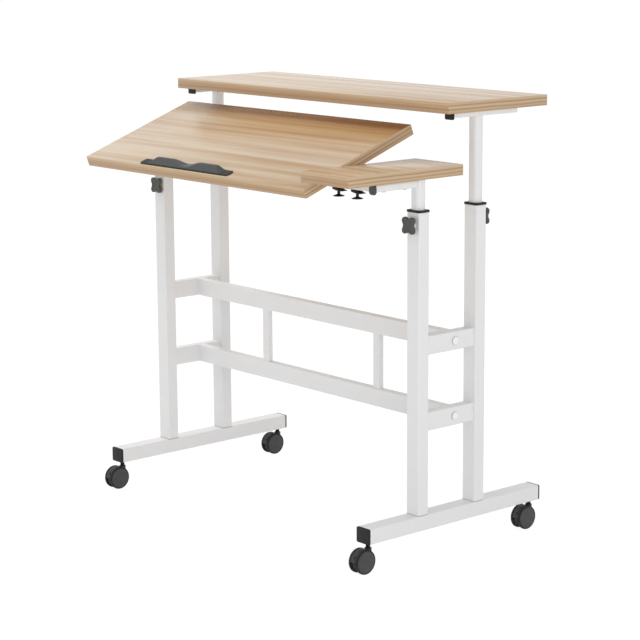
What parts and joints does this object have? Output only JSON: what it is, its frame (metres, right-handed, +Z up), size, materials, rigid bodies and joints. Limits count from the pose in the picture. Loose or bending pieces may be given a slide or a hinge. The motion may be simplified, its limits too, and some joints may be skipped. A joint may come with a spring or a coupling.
{
  "type": "height-adjustable desk",
  "caption": "Two-tier height-adjustable desk on casters: a work board that tilts beside a small fixed board, and a shelf above on telescoping columns.",
  "frame": {"origin": "centre of the bounding box at floor level", "axes": "+X to the right of a person seated at the desk, +Y away from the person, +Z up"},
  "size_m": [0.8, 0.496, 0.837],
  "materials": {
    "white_frame": "satin powder coat",
    "oak_board": "matt light oak laminate, grain along the width",
    "black_plastic": "matt",
    "grey_plastic": "matt",
    "knob_plastic": "fine matt texture",
    "plain_steel": "zinc plated",
    "black_steel": "black oxide",
    "hood_plastic": "matt",
    "wheel_plastic": "matt nylon"
  },
  "bodies": {
    "base": {"right_foot_bar": "white_frame", "left_foot_bar": "white_frame", "foot_end_caps": "black_plastic", "front_right_post": "white_frame", "rear_right_post": "white_frame", "front_left_post": "white_frame", "rear_left_post": "white_frame", "post_collars": "black_plastic", "upper_right_side_rail": "white_frame", "lower_right_side_rail": "white_frame", "upper_left_side_rail": "white_frame", "lower_left_side_rail": "white_frame", "upper_cross_beam": "white_frame", "lower_cross_beam": "white_frame", "beam_uprights": "white_frame", "frame_bolts": "white_frame", "clamp_nuts": "white_frame", "caster_stems": "black_steel"},
    "desk_frame": {"right_desk_tube": "white_frame", "left_desk_tube": "white_frame", "right_desk_arm": "white_frame", "left_desk_arm": "white_frame", "desk_arm_caps": "grey_plastic", "tilt_pivot_tube": "white_frame", "side_board_bars": "white_frame", "side_board": "oak_board", "side_board_screws": "plain_steel", "hanging_pegs": "black_plastic"},
    "tilt_top": {"tilt_board": "oak_board", "stopper_lip": "grey_plastic", "tilt_brackets": "white_frame", "tilt_bracket_screws": "plain_steel"},
    "shelf": {"right_shelf_tube": "white_frame", "left_shelf_tube": "white_frame", "right_shelf_arm": "white_frame", "left_shelf_arm": "white_frame", "shelf_arm_caps": "black_plastic", "shelf_board": "oak_board", "shelf_board_screws": "plain_steel"},
    "front_right_clamp": {"front_right_knob": "knob_plastic", "front_right_stud": "plain_steel"},
    "rear_right_clamp": {"rear_right_knob": "knob_plastic", "rear_right_stud": "plain_steel"},
    "front_left_clamp": {"front_left_knob": "knob_plastic", "front_left_stud": "plain_steel"},
    "rear_left_clamp": {"rear_left_knob": "knob_plastic", "rear_left_stud": "plain_steel"},
    "front_right_caster": {"front_right_caster_hood": "hood_plastic"},
    "front_right_outer_roller": {"front_right_outer_wheel": "wheel_plastic"},
    "front_right_inner_roller": {"front_right_inner_wheel": "wheel_plastic"},
    "rear_right_caster": {"rear_right_caster_hood": "hood_plastic"},
    "rear_right_outer_roller": {"rear_right_outer_wheel": "wheel_plastic"},
    "rear_right_inner_roller": {"rear_right_inner_wheel": "wheel_plastic"},
    "front_left_caster": {"front_left_caster_hood": "hood_plastic"},
    "front_left_outer_roller": {"front_left_outer_wheel": "wheel_plastic"},
    "front_left_inner_roller": {"front_left_inner_wheel": "wheel_plastic"},
    "rear_left_caster": {"rear_left_caster_hood": "hood_plastic"},
    "rear_left_outer_roller": {"rear_left_outer_wheel": "wheel_plastic"},
    "rear_left_inner_roller": {"rear_left_inner_wheel": "wheel_plastic"}
  },
  "joints": [
    {"name": "desk_height", "type": "slide", "parent": "base", "child": "desk_frame", "axis": [0, 0, 1], "range_m": [-0.035, 0.35]},
    {"name": "desk_tilt", "type": "hinge", "parent": "desk_frame", "child": "tilt_top", "pos_m": [0, -0.1478, 0.6975], "axis": [1, 0, 0], "range_deg": [-20, 4]},
    {"name": "shelf_height", "type": "slide", "parent": "desk_frame", "child": "shelf", "axis": [0, 0, 1], "range_m": [0, 0.08]},
    {"name": "front_right_clamp_turn", "type": "hinge", "parent": "base", "child": "front_right_clamp", "pos_m": [0.3804, -0.076, 0.6228], "axis": [0, -1, 0], "range_deg": [0, 360]},
    {"name": "rear_right_clamp_turn", "type": "hinge", "parent": "base", "child": "rear_right_clamp", "pos_m": [0.3804, 0.0933, 0.6228], "axis": [0, 1, 0], "range_deg": [0, 360]},
    {"name": "front_left_clamp_turn", "type": "hinge", "parent": "base", "child": "front_left_clamp", "pos_m": [-0.3804, -0.076, 0.6228], "axis": [0, -1, 0], "range_deg": [0, 360]},
    {"name": "rear_left_clamp_turn", "type": "hinge", "parent": "base", "child": "rear_left_clamp", "pos_m": [-0.3804, 0.0933, 0.6228], "axis": [0, 1, 0], "range_deg": [0, 360]},
    {"name": "front_right_caster_swivel", "type": "hinge", "parent": "base", "child": "front_right_caster", "pos_m": [0.3804, -0.186, 0.04], "axis": [0, 0, 1], "continuous": true},
    {"name": "front_right_outer_wheel_roll", "type": "hinge", "parent": "front_right_caster", "child": "front_right_outer_roller", "pos_m": [0.3899, -0.2005, 0.023], "axis": [1, 0, 0], "continuous": true},
    {"name": "front_right_inner_wheel_roll", "type": "hinge", "parent": "front_right_caster", "child": "front_right_inner_roller", "pos_m": [0.3709, -0.2005, 0.023], "axis": [1, 0, 0], "continuous": true},
    {"name": "rear_right_caster_swivel", "type": "hinge", "parent": "base", "child": "rear_right_caster", "pos_m": [0.3804, 0.233, 0.04], "axis": [0, 0, 1], "continuous": true},
    {"name": "rear_right_outer_wheel_roll", "type": "hinge", "parent": "rear_right_caster", "child": "rear_right_outer_roller", "pos_m": [0.3899, 0.2185, 0.023], "axis": [1, 0, 0], "continuous": true},
    {"name": "rear_right_inner_wheel_roll", "type": "hinge", "parent": "rear_right_caster", "child": "rear_right_inner_roller", "pos_m": [0.3709, 0.2185, 0.023], "axis": [1, 0, 0], "continuous": true},
    {"name": "front_left_caster_swivel", "type": "hinge", "parent": "base", "child": "front_left_caster", "pos_m": [-0.3804, -0.186, 0.04], "axis": [0, 0, 1], "continuous": true},
    {"name": "front_left_outer_wheel_roll", "type": "hinge", "parent": "front_left_caster", "child": "front_left_outer_roller", "pos_m": [-0.3899, -0.2005, 0.023], "axis": [1, 0, 0], "continuous": true},
    {"name": "front_left_inner_wheel_roll", "type": "hinge", "parent": "front_left_caster", "child": "front_left_inner_roller", "pos_m": [-0.3709, -0.2005, 0.023], "axis": [1, 0, 0], "continuous": true},
    {"name": "rear_left_caster_swivel", "type": "hinge", "parent": "base", "child": "rear_left_caster", "pos_m": [-0.3804, 0.233, 0.04], "axis": [0, 0, 1], "continuous": true},
    {"name": "rear_left_outer_wheel_roll", "type": "hinge", "parent": "rear_left_caster", "child": "rear_left_outer_roller", "pos_m": [-0.3899, 0.2185, 0.023], "axis": [1, 0, 0], "continuous": true},
    {"name": "rear_left_inner_wheel_roll", "type": "hinge", "parent": "rear_left_caster", "child": "rear_left_inner_roller", "pos_m": [-0.3709, 0.2185, 0.023], "axis": [1, 0, 0], "continuous": true}
  ]
}
